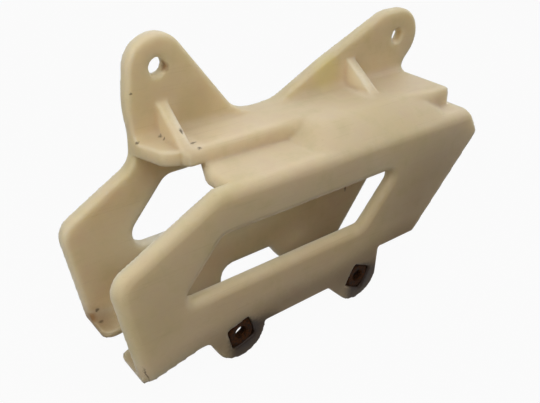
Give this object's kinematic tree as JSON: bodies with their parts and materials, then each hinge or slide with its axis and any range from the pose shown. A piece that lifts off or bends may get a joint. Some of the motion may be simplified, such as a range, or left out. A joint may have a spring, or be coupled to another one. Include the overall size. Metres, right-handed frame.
{
  "type": "motorcycle chain guide",
  "caption": "Open channel chain guide, moulded in one piece, with two fixing ears, windowed side plates, a stepped roof and square nuts held in pockets.",
  "frame": {"origin": "centre of the front ear bore at the mounting face, the outer face of the plate with ears", "axes": "+X along the chain's run, from the open mouth to the rear; +Y out of the mounting face; +Z from the bosses up to the ears"},
  "size_m": [0.1741, 0.0437, 0.1149],
  "materials": {
    "guide_nylon": "aged natural nylon, moulded, softly worn",
    "nut_steel": "pressed steel, brown with rust"
  },
  "bodies": {
    "root": {"guide_body": "guide_nylon", "square_nuts": "nut_steel"}
  },
  "joints": []
}
